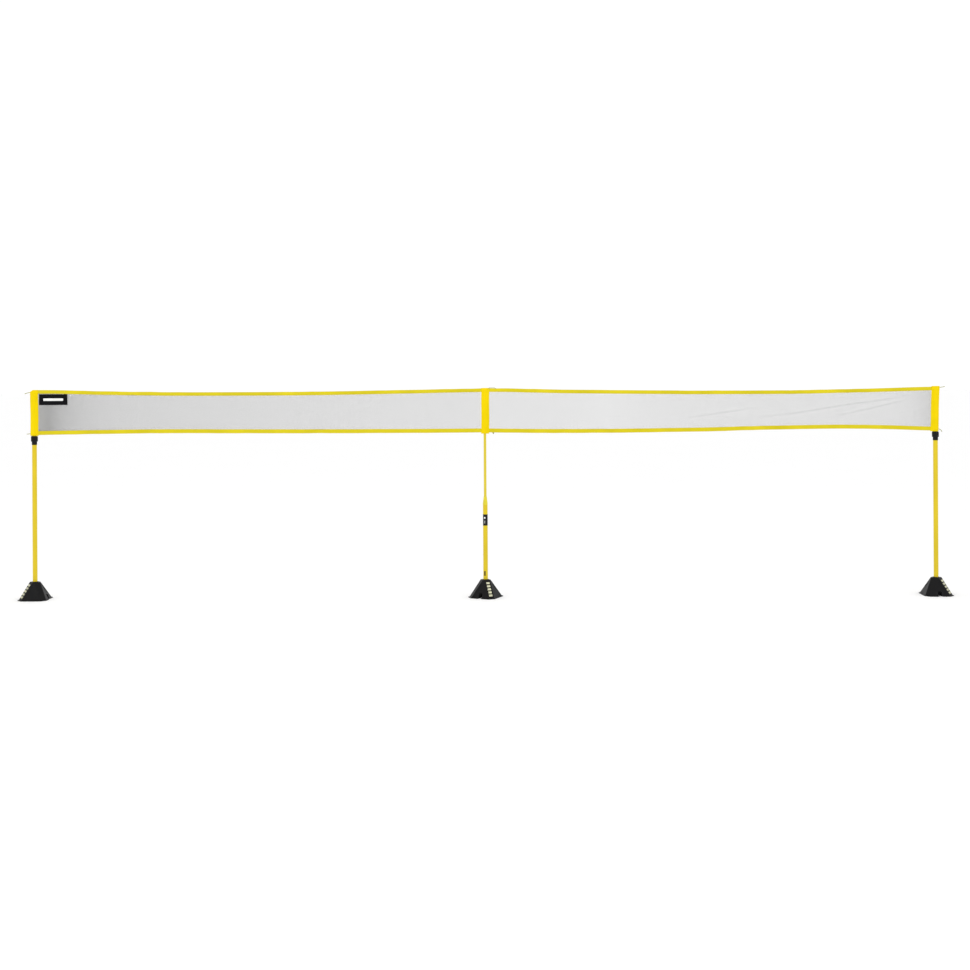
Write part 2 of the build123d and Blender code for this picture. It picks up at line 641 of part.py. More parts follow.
# short lashing that ties the top cord to the hem beside the middle post, and its twin's knot below
with BuildPart() as top_lashing:
    with BuildLine() as lash:
        FilletPolyline((24.8, -1, 1261.8), (35, -1, 1263.0), (56, -1, 1262.8), (68, -1, 1261.4), radius=[30, 30])
    with BuildSketch(Plane(origin=lash.line @ 0, z_dir=lash.line % 0)):
        Circle(1.6)
    sweep(path=lash.line)
top_lashing.part.label = "top_lashing"

with BuildPart() as bottom_knot:
    with Locations((51, 0, 988.2)):
        Sphere(4)
bottom_knot.part.label = "bottom_knot"


# ---------------------------------------------------------------- one STEP per sub-part
export_step(left_base_shell.part, "parts/left_base_shell.step")
export_step(middle_base_shell.part, "parts/middle_base_shell.step")
export_step(right_base_shell.part, "parts/right_base_shell.step")
export_step(left_base_tray.part, "parts/left_base_tray.step")
export_step(middle_base_tray.part, "parts/middle_base_tray.step")
export_step(right_base_tray.part, "parts/right_base_tray.step")
export_step(left_base_ballast.part, "parts/left_base_ballast.step")
export_step(middle_base_ballast.part, "parts/middle_base_ballast.step")
export_step(right_base_ballast.part, "parts/right_base_ballast.step")
export_step(left_base_bush.part, "parts/left_base_bush.step")
export_step(middle_base_bush.part, "parts/middle_base_bush.step")
export_step(right_base_bush.part, "parts/right_base_bush.step")
export_step(left_base_screws.part, "parts/left_base_screws.step")
export_step(middle_base_screws.part, "parts/middle_base_screws.step")
export_step(right_base_screws.part, "parts/right_base_screws.step")
export_step(left_base_pads.part, "parts/left_base_pads.step")
export_step(middle_base_pads.part, "parts/middle_base_pads.step")
export_step(right_base_pads.part, "parts/right_base_pads.step")
export_step(left_outer_tube.part, "parts/left_outer_tube.step")
export_step(middle_outer_tube.part, "parts/middle_outer_tube.step")
export_step(right_outer_tube.part, "parts/right_outer_tube.step")
export_step(left_upper_tube.part, "parts/left_upper_tube.step")
export_step(middle_upper_tube.part, "parts/middle_upper_tube.step")
export_step(right_upper_tube.part, "parts/right_upper_tube.step")
export_step(left_foot_plug.part, "parts/left_foot_plug.step")
export_step(middle_foot_plug.part, "parts/middle_foot_plug.step")
export_step(right_foot_plug.part, "parts/right_foot_plug.step")
export_step(left_guide_plug.part, "parts/left_guide_plug.step")
export_step(right_guide_plug.part, "parts/right_guide_plug.step")
export_step(left_top_cap.part, "parts/left_top_cap.step")
export_step(middle_top_cap.part, "parts/middle_top_cap.step")
export_step(right_top_cap.part, "parts/right_top_cap.step")
export_step(left_lock_body.part, "parts/left_lock_body.step")
export_step(right_lock_body.part, "parts/right_lock_body.step")
export_step(left_collet.part, "parts/left_collet.step")
export_step(right_collet.part, "parts/right_collet.step")
export_step(left_lock_nut.part, "parts/left_lock_nut.step")
export_step(right_lock_nut.part, "parts/right_lock_nut.step")
export_step(middle_reducer.part, "parts/middle_reducer.step")
export_step(middle_cam_hub.part, "parts/middle_cam_hub.step")
export_step(middle_cam_ring.part, "parts/middle_cam_ring.step")
export_step(middle_label.part, "parts/middle_label.step")
export_step(middle_mark.part, "parts/middle_mark.step")
export_step(left_top_hem.part, "parts/left_top_hem.step")
export_step(right_top_hem.part, "parts/right_top_hem.step")
export_step(left_bottom_hem.part, "parts/left_bottom_hem.step")
export_step(right_bottom_hem.part, "parts/right_bottom_hem.step")
export_step(left_mesh.part, "parts/left_mesh.step")
export_step(right_mesh.part, "parts/right_mesh.step")
export_step(left_sleeve.part, "parts/left_sleeve.step")
export_step(middle_sleeve.part, "parts/middle_sleeve.step")
export_step(right_sleeve.part, "parts/right_sleeve.step")
export_step(net_patch.part, "parts/net_patch.step")
export_step(top_cord.part, "parts/top_cord.step")
export_step(bottom_cord.part, "parts/bottom_cord.step")
export_step(top_lashing.part, "parts/top_lashing.step")
export_step(bottom_knot.part, "parts/bottom_knot.step")
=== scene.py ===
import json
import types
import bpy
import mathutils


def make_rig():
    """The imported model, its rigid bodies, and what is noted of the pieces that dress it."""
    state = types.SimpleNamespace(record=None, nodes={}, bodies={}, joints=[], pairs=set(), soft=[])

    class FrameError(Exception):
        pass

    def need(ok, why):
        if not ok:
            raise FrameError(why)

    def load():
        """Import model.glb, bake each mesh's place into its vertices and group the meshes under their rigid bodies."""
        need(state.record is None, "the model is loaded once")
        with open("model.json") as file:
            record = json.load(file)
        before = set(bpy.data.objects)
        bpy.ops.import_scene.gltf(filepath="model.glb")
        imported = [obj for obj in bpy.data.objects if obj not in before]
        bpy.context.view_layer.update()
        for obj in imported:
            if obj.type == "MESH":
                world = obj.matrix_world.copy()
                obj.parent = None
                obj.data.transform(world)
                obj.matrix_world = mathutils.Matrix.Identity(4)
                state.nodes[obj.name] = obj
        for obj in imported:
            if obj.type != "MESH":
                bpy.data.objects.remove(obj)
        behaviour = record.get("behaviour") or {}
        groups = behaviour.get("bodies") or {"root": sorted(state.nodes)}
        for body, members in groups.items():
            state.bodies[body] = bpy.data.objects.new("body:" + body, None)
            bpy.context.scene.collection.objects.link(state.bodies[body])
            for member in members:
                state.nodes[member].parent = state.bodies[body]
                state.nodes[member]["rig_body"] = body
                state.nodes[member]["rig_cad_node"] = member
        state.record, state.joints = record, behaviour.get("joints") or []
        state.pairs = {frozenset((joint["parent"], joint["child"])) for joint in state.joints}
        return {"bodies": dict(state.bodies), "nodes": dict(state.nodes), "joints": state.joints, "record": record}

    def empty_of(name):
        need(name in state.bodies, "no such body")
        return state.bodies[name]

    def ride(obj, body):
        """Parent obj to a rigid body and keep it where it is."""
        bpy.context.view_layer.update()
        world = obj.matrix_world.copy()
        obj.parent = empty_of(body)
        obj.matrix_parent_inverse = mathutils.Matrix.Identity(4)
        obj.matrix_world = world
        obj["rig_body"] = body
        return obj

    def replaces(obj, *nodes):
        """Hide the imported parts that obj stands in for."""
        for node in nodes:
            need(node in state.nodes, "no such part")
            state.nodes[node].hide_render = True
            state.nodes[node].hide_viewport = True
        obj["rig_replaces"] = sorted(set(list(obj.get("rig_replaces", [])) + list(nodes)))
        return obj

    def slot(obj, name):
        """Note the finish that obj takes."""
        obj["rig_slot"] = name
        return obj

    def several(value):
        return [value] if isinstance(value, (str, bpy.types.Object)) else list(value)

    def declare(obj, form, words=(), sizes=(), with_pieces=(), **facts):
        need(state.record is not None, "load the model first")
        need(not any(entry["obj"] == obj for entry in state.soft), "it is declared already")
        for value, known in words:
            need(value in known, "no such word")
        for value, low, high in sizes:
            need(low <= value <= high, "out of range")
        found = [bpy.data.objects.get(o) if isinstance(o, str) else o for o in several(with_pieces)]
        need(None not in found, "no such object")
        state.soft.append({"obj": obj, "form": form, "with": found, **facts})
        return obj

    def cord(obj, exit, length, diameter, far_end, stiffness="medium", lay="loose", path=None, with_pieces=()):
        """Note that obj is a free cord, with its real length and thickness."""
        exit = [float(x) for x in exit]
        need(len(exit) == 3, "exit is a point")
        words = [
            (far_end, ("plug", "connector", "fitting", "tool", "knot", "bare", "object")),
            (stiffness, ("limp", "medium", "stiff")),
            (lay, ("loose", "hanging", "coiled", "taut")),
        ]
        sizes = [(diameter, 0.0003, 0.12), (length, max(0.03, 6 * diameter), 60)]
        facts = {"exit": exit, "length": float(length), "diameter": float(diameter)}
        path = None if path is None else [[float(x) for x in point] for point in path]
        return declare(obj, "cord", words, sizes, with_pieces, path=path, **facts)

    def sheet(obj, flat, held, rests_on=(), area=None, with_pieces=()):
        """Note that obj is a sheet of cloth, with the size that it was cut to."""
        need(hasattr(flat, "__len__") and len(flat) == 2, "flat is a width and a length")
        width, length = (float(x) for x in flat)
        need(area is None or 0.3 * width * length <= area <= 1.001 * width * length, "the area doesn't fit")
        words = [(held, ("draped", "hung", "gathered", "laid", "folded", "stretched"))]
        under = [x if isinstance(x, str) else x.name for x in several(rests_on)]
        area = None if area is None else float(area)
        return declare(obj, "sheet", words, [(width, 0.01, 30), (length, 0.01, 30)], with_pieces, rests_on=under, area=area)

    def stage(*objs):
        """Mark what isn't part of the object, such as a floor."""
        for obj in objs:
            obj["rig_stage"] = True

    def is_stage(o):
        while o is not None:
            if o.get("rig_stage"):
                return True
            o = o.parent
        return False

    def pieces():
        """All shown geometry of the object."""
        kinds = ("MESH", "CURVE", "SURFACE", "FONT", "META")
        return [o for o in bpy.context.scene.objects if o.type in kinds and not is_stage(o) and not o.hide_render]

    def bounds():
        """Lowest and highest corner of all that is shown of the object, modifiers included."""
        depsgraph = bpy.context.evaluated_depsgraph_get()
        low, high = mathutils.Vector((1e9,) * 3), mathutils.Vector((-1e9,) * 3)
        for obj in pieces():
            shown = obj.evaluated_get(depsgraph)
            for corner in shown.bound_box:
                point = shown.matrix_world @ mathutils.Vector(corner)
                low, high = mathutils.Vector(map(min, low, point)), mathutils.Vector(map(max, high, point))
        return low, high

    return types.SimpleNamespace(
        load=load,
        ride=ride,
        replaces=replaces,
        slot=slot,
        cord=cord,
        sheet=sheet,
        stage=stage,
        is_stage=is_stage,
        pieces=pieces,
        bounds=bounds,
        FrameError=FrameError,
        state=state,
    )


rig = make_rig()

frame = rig.load()
CAD_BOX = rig.bounds()

import bpy
import json
import math
import numpy as np
from mathutils import Matrix, Vector

POST_X = 2.722
SLEEVE_W = 0.048

# Hem centrelines, (X, Z) in metres: the band sags between the posts and is not quite even.
TOP_LEFT = [(-2698, 1252), (-2568, 1250.5), (-2447, 1247), (-2326, 1243.1), (-2205, 1240.6),
            (-2084, 1238.2), (-1964, 1236.3), (-1722, 1234.1), (-1359, 1233.4), (-1118, 1233.7),
            (-876, 1235.4), (-634, 1239.0), (-393, 1242.5), (-151, 1246.4), (-24, 1248.3)]
TOP_RIGHT = [(24, 1248.8), (91, 1248.2), (332, 1241.7), (574, 1236.8), (816, 1233.7),
             (1057, 1230.6), (1178, 1228.9), (1420, 1227.5), (1662, 1227.1), (1903, 1227.6),
             (2024, 1229.5), (2145, 1231.7), (2266, 1234.0), (2387, 1236.6), (2507, 1239.7),
             (2628, 1242.7), (2698, 1244.2)]
BOTTOM_LEFT = [(-2698, 1003.6), (-2628, 1004.4), (-2447, 1006.5), (-2205, 1009.0), (-1964, 1010.2),
               (-1722, 1009.3), (-1239, 1006.3), (-876, 1005.0), (-514, 1004.4), (-272, 1004.5),
               (-24, 1005.4)]
BOTTOM_RIGHT = [(24, 1004.8), (91, 1003.6), (332, 1000.2), (695, 998.6), (937, 999.7),
                (1057, 1001.2), (1299, 1003.7), (1420, 1006.2), (1541, 1009.2), (1662, 1011.6),
                (1782, 1013.4), (1903, 1015.1), (2084, 1016.7), (2145, 1016.6), (2266, 1015.6),
                (2387, 1013.2), (2507, 1009.6), (2628, 1004.6), (2698, 1002.5)]
TOP_CORD = [(-2780, 0, 1240.5), (-2752, 0, 1249.5), (-2722, 0, 1251.8), (-2640, 0, 1251.2), (-2450, 0, 1247.2),
            (-2205, 0, 1240.8), (-1960, 0, 1236.6), (-1650, 0, 1234.3), (-1240, 0, 1233.7), (-880, 0, 1235.9),
            (-520, 0, 1240.6), (-240, 0, 1245.4), (-90, 0, 1248.4), (0, 0, 1249.2), (90, 0, 1248.0),
            (300, 0, 1242.8), (600, 0, 1236.6), (960, 0, 1231.9), (1300, 0, 1228.6), (1650, 0, 1227.4),
            (1920, 0, 1228.3), (2170, 0, 1232.6), (2400, 0, 1237.4), (2600, 0, 1242.2), (2706, 0, 1246.4),
            (2748, 0, 1250.2), (2780, 0, 1255.5)]
BOTTOM_CORD = [(-2768, 0, 997.0), (-2742, 0, 999.4), (-2730, 14, 1000.4), (-2714, 14, 1001.6), (-2702, 0, 1002.6),
               (-2670, 0, 1004.2), (-2600, 0, 1005.6), (-2440, 0, 1007.2), (-2205, 0, 1009.2), (-1960, 0, 1010.0),
               (-1650, 0, 1008.8), (-1240, 0, 1006.4), (-880, 0, 1005.1), (-520, 0, 1004.5), (-240, 0, 1004.9),
               (-100, 0, 1005.4), (-48, 0, 1005.3), (-18, 0, 1005.2), (-6.5, 11, 1005.1), (6.5, 11, 1005.0), (18, 0, 1004.9),
               (48, 0, 1004.4), (120, 0, 1003.0), (330, 0, 1000.8), (660, 0, 999.3), (940, 0, 1000.4),
               (1200, 0, 1003.4), (1450, 0, 1007.6), (1700, 0, 1012.0), (1950, 0, 1015.2), (2150, 0, 1015.9),
               (2340, 0, 1013.4), (2500, 0, 1009.2), (2610, 0, 1005.6), (2672, 0, 1003.4), (2702, 0, 1002.0),
               (2714, 14, 1001.2), (2730, 14, 1000.2), (2742, 0, 999.2), (2756, 0.5, 996.0), (2762, 1, 983.0)]


# ------------------------------------------------------------------ camera
cam_data = bpy.data.cameras.new("camera")
cam = bpy.data.objects.new("camera", cam_data)
bpy.context.scene.collection.objects.link(cam)
cam_data.sensor_width = 36.0
cam_data.lens = 54.05
cam_data.shift_x = 0.0005
cam_data.shift_y = -0.12707
cam_data.clip_end = 200
cam.matrix_world = (Matrix.Translation((0.0, -8.8, 1.42)) @ Matrix.Rotation(math.radians(90), 4, "X")
                    @ Matrix.Rotation(math.radians(-0.30), 4, "Z"))
bpy.context.scene.camera = cam
bpy.context.scene.view_settings.view_transform = "Standard"


# ------------------------------------------------------------------ helpers
def smooth_line(points, xs):
    """Heights of a natural cubic spline through the points, at xs (metres)."""
    px = np.array([p[0] for p in points], float) / 1000
    pz = np.array([p[1] for p in points], float) / 1000
    n = len(px)
    h = np.diff(px)
    a = np.zeros((n, n))
    b = np.zeros(n)
    a[0, 0] = a[-1, -1] = 1
    for i in range(1, n - 1):
        a[i, i - 1], a[i, i], a[i, i + 1] = h[i - 1], 2 * (h[i - 1] + h[i]), h[i]
        b[i] = 6 * ((pz[i + 1] - pz[i]) / h[i] - (pz[i] - pz[i - 1]) / h[i - 1])
    m = np.linalg.solve(a, b)
    i = np.clip(np.searchsorted(px, xs) - 1, 0, n - 2)
    t, hh = xs - px[i], h[i]
    u = px[i + 1] - xs
    return (m[i] * u ** 3 + m[i + 1] * t ** 3) / (6 * hh) + (pz[i] / hh - m[i] * hh / 6) * u + (pz[i + 1] / hh - m[i + 1] * hh / 6) * t


def add_mesh(name, verts, faces, mats, smooth=True, uv=None, face_mats=None):
    me = bpy.data.meshes.new(name)
    me.from_pydata([tuple(map(float, v)) for v in verts], [], [tuple(map(int, f)) for f in faces])
    me.update()
    for m in mats:
        me.materials.append(m)
    if smooth:
        me.polygons.foreach_set("use_smooth", [True] * len(me.polygons))
    if face_mats is not None:
        me.polygons.foreach_set("material_index", list(face_mats))
    if uv is not None:
        layer = me.uv_layers.new(name="cloth")
        idx = np.zeros(len(me.loops), np.int32)
        me.loops.foreach_get("vertex_index", idx)
        layer.data.foreach_set("uv", np.asarray(uv, np.float32)[idx].ravel())
    me.validate()
    o = bpy.data.objects.new(name, me)
    bpy.context.scene.collection.objects.link(o)
    return o


def quads_fast(name, verts, quads, mats, smooth=False):
    """A big mesh of quads from arrays."""
    me = bpy.data.meshes.new(name)
    verts, quads = np.asarray(verts, np.float32), np.asarray(quads, np.int32)
    me.vertices.add(len(verts))
    me.vertices.foreach_set("co", verts.ravel())
    me.loops.add(quads.size)
    me.loops.foreach_set("vertex_index", quads.ravel())
    me.polygons.add(len(quads))
    me.polygons.foreach_set("loop_start", np.arange(0, quads.size, 4, dtype=np.int32))
    me.update(calc_edges=True)
    for m in mats:
        me.materials.append(m)
    if smooth:
        me.polygons.foreach_set("use_smooth", [True] * len(me.polygons))
    me.validate()
    o = bpy.data.objects.new(name, me)
    bpy.context.scene.collection.objects.link(o)
    return o


class Nodes:
    """A short way to write a node tree."""

    def __init__(self, name):
        self.mat = bpy.data.materials.new(name)
        self.mat.use_nodes = True
        self.t = self.mat.node_tree
        self.b = self.t.nodes["Principled BSDF"]

    def n(self, kind, **props):
        node = self.t.nodes.new("ShaderNode" + kind)
        for k, v in props.items():
            if k.startswith("in_"):
                key = k[3:].replace("_", " ")
                node.inputs[key].default_value = v
            else:
                setattr(node, k, v)
        return node

    def l(self, a, b):
        self.t.links.new(a, b)

    def coords(self, kind="Object", scale=(1, 1, 1)):
        c = self.n("TexCoord")
        m = self.n("Mapping")
        m.inputs["Scale"].default_value = scale
        self.l(c.outputs[kind], m.inputs["Vector"])
        return m.outputs["Vector"]

    def noise(self, vec, scale, detail=4.0, rough=0.5):
        x = self.n("TexNoise")
        x.inputs["Scale"].default_value = scale
        x.inputs["Detail"].default_value = detail
        x.inputs["Roughness"].default_value = rough
        self.l(vec, x.inputs["Vector"])
        return x.outputs["Fac"]

    def ramp(self, fac, stops):
        r = self.n("ValToRGB")
        el = r.color_ramp.elements
        el[0].position, el[0].color = stops[0][0], (*stops[0][1], 1)
        el[1].position, el[1].color = stops[-1][0], (*stops[-1][1], 1)
        for p, c in stops[1:-1]:
            e = el.new(p)
            e.color = (*c, 1)
        self.l(fac, r.inputs["Fac"])
        return r.outputs["Color"]

    def remap(self, fac, lo, hi, a=0.3, b=0.7):
        m = self.n("MapRange")
        m.inputs["From Min"].default_value, m.inputs["From Max"].default_value = a, b
        m.inputs["To Min"].default_value, m.inputs["To Max"].default_value = lo, hi
        self.l(fac, m.inputs["Value"])
        return m.outputs["Result"]

    def math(self, op, a, b=None, value=None):
        m = self.n("Math", operation=op)
        self.l(a, m.inputs[0])
        if b is not None:
            self.l(b, m.inputs[1])
        elif value is not None:
            m.inputs[1].default_value = value
        return m.outputs[0]

    def mix(self, fac, a, b, mode="MIX"):
        m = self.n("Mix", data_type="RGBA", blend_type=mode)
        if isinstance(fac, (int, float)):
            m.inputs["Factor"].default_value = fac
        else:
            self.l(fac, m.inputs["Factor"])
        for sock, v in ((6, a), (7, b)):
            if isinstance(v, tuple):
                m.inputs[sock].default_value = (*v, 1)
            else:
                self.l(v, m.inputs[sock])
        return m.outputs[2]

    def bump(self, height, strength, distance, under=None):
        x = self.n("Bump")
        x.inputs["Strength"].default_value = strength
        x.inputs["Distance"].default_value = distance
        self.l(height, x.inputs["Height"])
        if under is not None:
            self.l(under, x.inputs["Normal"])
        return x.outputs["Normal"]


def shade(c, k):
    return tuple(min(1.0, x * k) for x in c)


def cloth(name, colour, weave=700.0, slubs=0.10, rough=0.82, sheen=0.03, uv=True):
    """Plain-woven polyester: crossing threads, slight slubs, broad soft fading."""
    m = Nodes(name)
    if uv:
        vec = m.n("UVMap", uv_map="cloth").outputs["UV"]
    else:
        c = m.n("TexCoord")
        x = m.n("SeparateXYZ")
        m.l(c.outputs["Object"], x.inputs[0])
        y = m.n("CombineXYZ")
        m.l(x.outputs["X"], y.inputs["X"])
        m.l(x.outputs["Z"], y.inputs["Y"])
        vec = y.outputs[0]
    warp = m.n("TexWave", wave_type="BANDS", bands_direction="X", wave_profile="SIN")
    weft = m.n("TexWave", wave_type="BANDS", bands_direction="Y", wave_profile="SIN")
    for w in (warp, weft):
        w.inputs["Scale"].default_value = weave / 6.283
        w.inputs["Distortion"].default_value = 0.6
        w.inputs["Detail"].default_value = 1.0
        m.l(vec, w.inputs["Vector"])
    threads = m.math("MAXIMUM", warp.outputs["Fac"], weft.outputs["Fac"])
    obj = m.coords("Object")
    broad = m.noise(obj, 7.0, 3.0)
    fine = m.noise(obj, 420.0, 2.0)
    base = m.ramp(broad, [(0.3, shade(colour, 1 - slubs)), (0.7, shade(colour, 1 + slubs * 0.4))])
    base = m.mix(m.remap(fine, 0.0, 0.22), base, shade(colour, 0.72))
    base = m.mix(m.remap(threads, 0.20, 0.0, 0.2, 0.9), base, shade(colour, 0.6))
    m.l(base, m.b.inputs["Base Color"])
    m.l(m.remap(fine, rough - 0.07, rough + 0.08), m.b.inputs["Roughness"])
    m.b.inputs["Sheen Weight"].default_value = sheen
    m.b.inputs["Sheen Roughness"].default_value = 0.5
    m.b.inputs["Specular IOR Level"].default_value = 0.06
    height = m.math("ADD", m.math("MULTIPLY", threads, value=0.7), m.math("MULTIPLY", fine, value=0.5))
    m.l(m.bump(height, 0.45, 0.0004), m.b.inputs["Normal"])
    return m.mat


def plastic(name, colour, rough=0.5, grain=900.0, depth=0.00012, dust=0.06, wear_and_sheen=0.0, coat=0.0, spec=0.3):
    """Moulded plastic: fine grain, faint dust and flow marks, corners painted paler, partly as rubbed wear and partly
    as a painted reflection of the bright surroundings.
    """
    m = Nodes(name)
    obj = m.coords("Object")
    fine = m.noise(obj, grain, 3.0, 0.6)
    broad = m.noise(obj, 18.0, 5.0, 0.6)
    base = m.ramp(broad, [(0.32, shade(colour, 0.88)), (0.68, shade(colour, 1.12))])
    base = m.mix(m.remap(m.noise(obj, 60.0, 6.0, 0.7), 0.0, dust, 0.45, 0.75), base, (0.30, 0.29, 0.27))
    # Convex corners are painted paler: partly rubbed wear, partly a painted reflection standing in for the light the
    # edges catch.
    if wear_and_sheen:
        geo = m.n("NewGeometry")
        edge = m.remap(geo.outputs["Pointiness"], 0.0, wear_and_sheen, 0.52, 0.60)
        base = m.mix(edge, base, shade(colour, 4.0))
    m.l(base, m.b.inputs["Base Color"])
    m.l(m.remap(broad, rough - 0.07, rough + 0.09), m.b.inputs["Roughness"])
    m.b.inputs["Coat Weight"].default_value = coat
    m.b.inputs["Coat Roughness"].default_value = 0.3
    m.b.inputs["Specular IOR Level"].default_value = spec
    m.l(m.bump(fine, 0.5, depth), m.b.inputs["Normal"])
    return m.mat


def paint(name, colour, rough=0.36):
    """Powder coat over steel tube: orange peel, slight fading, thin scuffs along the tube."""
    m = Nodes(name)
    obj = m.coords("Object")
    peel = m.noise(obj, 650.0, 2.0)
    broad = m.noise(m.coords("Object", (1, 1, 0.25)), 20.0, 4.0)
    scuff = m.noise(m.coords("Object", (1.0, 1.0, 0.06)), 260.0, 3.0, 0.7)
    base = m.ramp(broad, [(0.3, shade(colour, 0.93)), (0.7, shade(colour, 1.05))])
    base = m.mix(m.remap(scuff, 0.0, 0.35, 0.66, 0.80), base, shade(colour, 0.55))
    m.l(base, m.b.inputs["Base Color"])
    m.l(m.remap(scuff, rough, rough + 0.18, 0.45, 0.8), m.b.inputs["Roughness"])
    m.b.inputs["Coat Weight"].default_value = 0.06
    m.b.inputs["Coat Roughness"].default_value = 0.22
    m.b.inputs["Specular IOR Level"].default_value = 0.28
    m.l(m.bump(peel, 0.25, 0.00008), m.b.inputs["Normal"])
    return m.mat


def steel(name, colour=(0.55, 0.56, 0.58)):
    m = Nodes(name)
    obj = m.coords("Object")
    base = m.ramp(m.noise(obj, 200.0, 4.0), [(0.3, shade(colour, 0.85)), (0.7, shade(colour, 1.1))])
    m.l(base, m.b.inputs["Base Color"])
    m.b.inputs["Metallic"].default_value = 1.0
    m.l(m.remap(m.noise(obj, 500.0), 0.28, 0.45), m.b.inputs["Roughness"])
    m.l(m.bump(m.noise(obj, 1500.0), 0.2, 0.00005), m.b.inputs["Normal"])
    return m.mat


def yarn(name, colour, rough=0.7):
    """Braided or twisted yarn: slanting strands and a slightly fuzzy finish."""
    m = Nodes(name)
    obj = m.coords("Object")
    wave = m.n("TexWave", wave_type="BANDS", bands_direction="DIAGONAL", wave_profile="SIN")
    wave.inputs["Scale"].default_value = 120.0
    wave.inputs["Distortion"].default_value = 1.5
    m.l(obj, wave.inputs["Vector"])
    base = m.mix(m.remap(wave.outputs["Fac"], 0.45, 0.0, 0.1, 0.9), colour, shade(colour, 0.5))
    base = m.mix(m.remap(m.noise(obj, 900.0, 2.0), 0.0, 0.3), base, shade(colour, 1.35))
    m.l(base, m.b.inputs["Base Color"])
    m.l(m.remap(m.noise(obj, 300.0), rough - 0.08, rough + 0.1), m.b.inputs["Roughness"])
    m.b.inputs["Sheen Weight"].default_value = 0.05
    m.b.inputs["Specular IOR Level"].default_value = 0.15
    m.l(m.bump(wave.outputs["Fac"], 0.6, 0.0005), m.b.inputs["Normal"])
    return m.mat


YELLOW = (0.93, 0.695, 0.0015)
M = {
    "sleeve": cloth("sleeve_fabric", YELLOW),
    "hem": cloth("hem_fabric", (0.74, 0.62, 0.020), weave=900.0, slubs=0.12),
    "thread": yarn("sewing_thread", (0.66, 0.52, 0.03)),
    "net": yarn("net_yarn", (0.45, 0.45, 0.45)),
    "cord": yarn("cord_braid", (0.38, 0.38, 0.13)),
    "patch": cloth("patch_fabric", (0.006, 0.006, 0.007), weave=1500.0, rough=0.7, sheen=0.0),
    "white": plastic("print_white", (0.86, 0.86, 0.84), 0.45, dust=0.02),
    "cream": plastic("print_cream", (0.80, 0.80, 0.42), 0.45, dust=0.02),
    "black_thread": yarn("black_thread", (0.02, 0.02, 0.02)),
    "tube": paint("tube_paint", (0.70, 0.525, 0.010)),
    "upper": paint("upper_tube_paint", (0.68, 0.545, 0.03)),
    "reducer": plastic("reducer_plastic", (0.72, 0.62, 0.03), 0.40, coat=0.05, dust=0.02),
    # the base corners get a paler colour: partly wear, partly a painted reflection
    "base": plastic("base_plastic", (0.0035, 0.0035, 0.0040), 0.38, grain=700.0, depth=0.0002, dust=0.008, wear_and_sheen=0.5, spec=0.13),
    "tray": plastic("tray_plastic", (0.010, 0.010, 0.011), 0.55, dust=0.04, spec=0.2),
    "ballast": plastic("ballast_rubber", (0.03, 0.03, 0.03), 0.8, grain=300.0, depth=0.0006, dust=0.12),
    "bush": plastic("bush_plastic", (0.006, 0.006, 0.007), 0.35, dust=0.01, spec=0.18),
    "pads": plastic("pad_print", (0.80, 0.79, 0.56), 0.4, dust=0.03),
    # the lock corners get a paler colour: partly wear, partly a painted reflection
    "lock": plastic("lock_plastic", (0.0025, 0.0025, 0.003), 0.24, grain=1200.0, depth=0.00008, dust=0.01, wear_and_sheen=0.5, spec=0.2),
    "nylon": plastic("nylon_natural", (0.70, 0.69, 0.64), 0.45),
    "plug": plastic("plug_plastic", (0.012, 0.012, 0.013), 0.5, dust=0.02, spec=0.2),
    "film": plastic("label_film", (0.005, 0.005, 0.006), 0.3, grain=300.0, depth=0.00004, dust=0.01, spec=0.2),
    "mark": plastic("mark_film", (0.05, 0.035, 0.006), 0.45),
    "steel": steel("screw_steel"),
}


def dress(node, key):
    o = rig.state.nodes[node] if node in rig.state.nodes else bpy.data.objects[node]
    if not o.data.materials:
        o.data.materials.append(M[key])
    for s in o.material_slots:
        s.link = "OBJECT"
        s.material = M[key]


for side in ("left", "middle", "right"):
    dress(f"{side}_base_shell", "base")
    dress(f"{side}_base_tray", "tray")
    dress(f"{side}_base_ballast", "ballast")
    dress(f"{side}_base_bush", "bush")
    dress(f"{side}_base_screws", "steel")
    dress(f"{side}_base_pads", "pads")
    dress(f"{side}_outer_tube", "tube")
    dress(f"{side}_upper_tube", "upper")
    dress(f"{side}_foot_plug", "plug")
    dress(f"{side}_top_cap", "plug")
for side in ("left", "right"):
    dress(f"{side}_guide_plug", "plug")
    dress(f"{side}_lock_body", "lock")
    dress(f"{side}_lock_nut", "lock")
    dress(f"{side}_collet", "nylon")
dress("middle_reducer", "reducer")
dress("middle_cam_hub", "plug")
dress("middle_cam_ring", "nylon")
dress("middle_mark", "mark")


# ------------------------------------------------------------------ cords
def nurbs(name, points, radius, key, scale=0.001):
    cu = bpy.data.curves.new(name, "CURVE")
    cu.dimensions = "3D"
    s = cu.splines.new("NURBS")
    s.points.add(len(points) - 1)
    for p, q in zip(s.points, points):
        p.co = (q[0] * scale, q[1] * scale, q[2] * scale, 1.0)
    s.order_u = 3
    s.use_endpoint_u = True
    s.resolution_u = 8
    cu.bevel_depth = radius
    cu.bevel_resolution = 3
    cu.use_fill_caps = True
    cu.materials.append(M[key])
    o = bpy.data.objects.new(name, cu)
    bpy.context.scene.collection.objects.link(o)
    return o


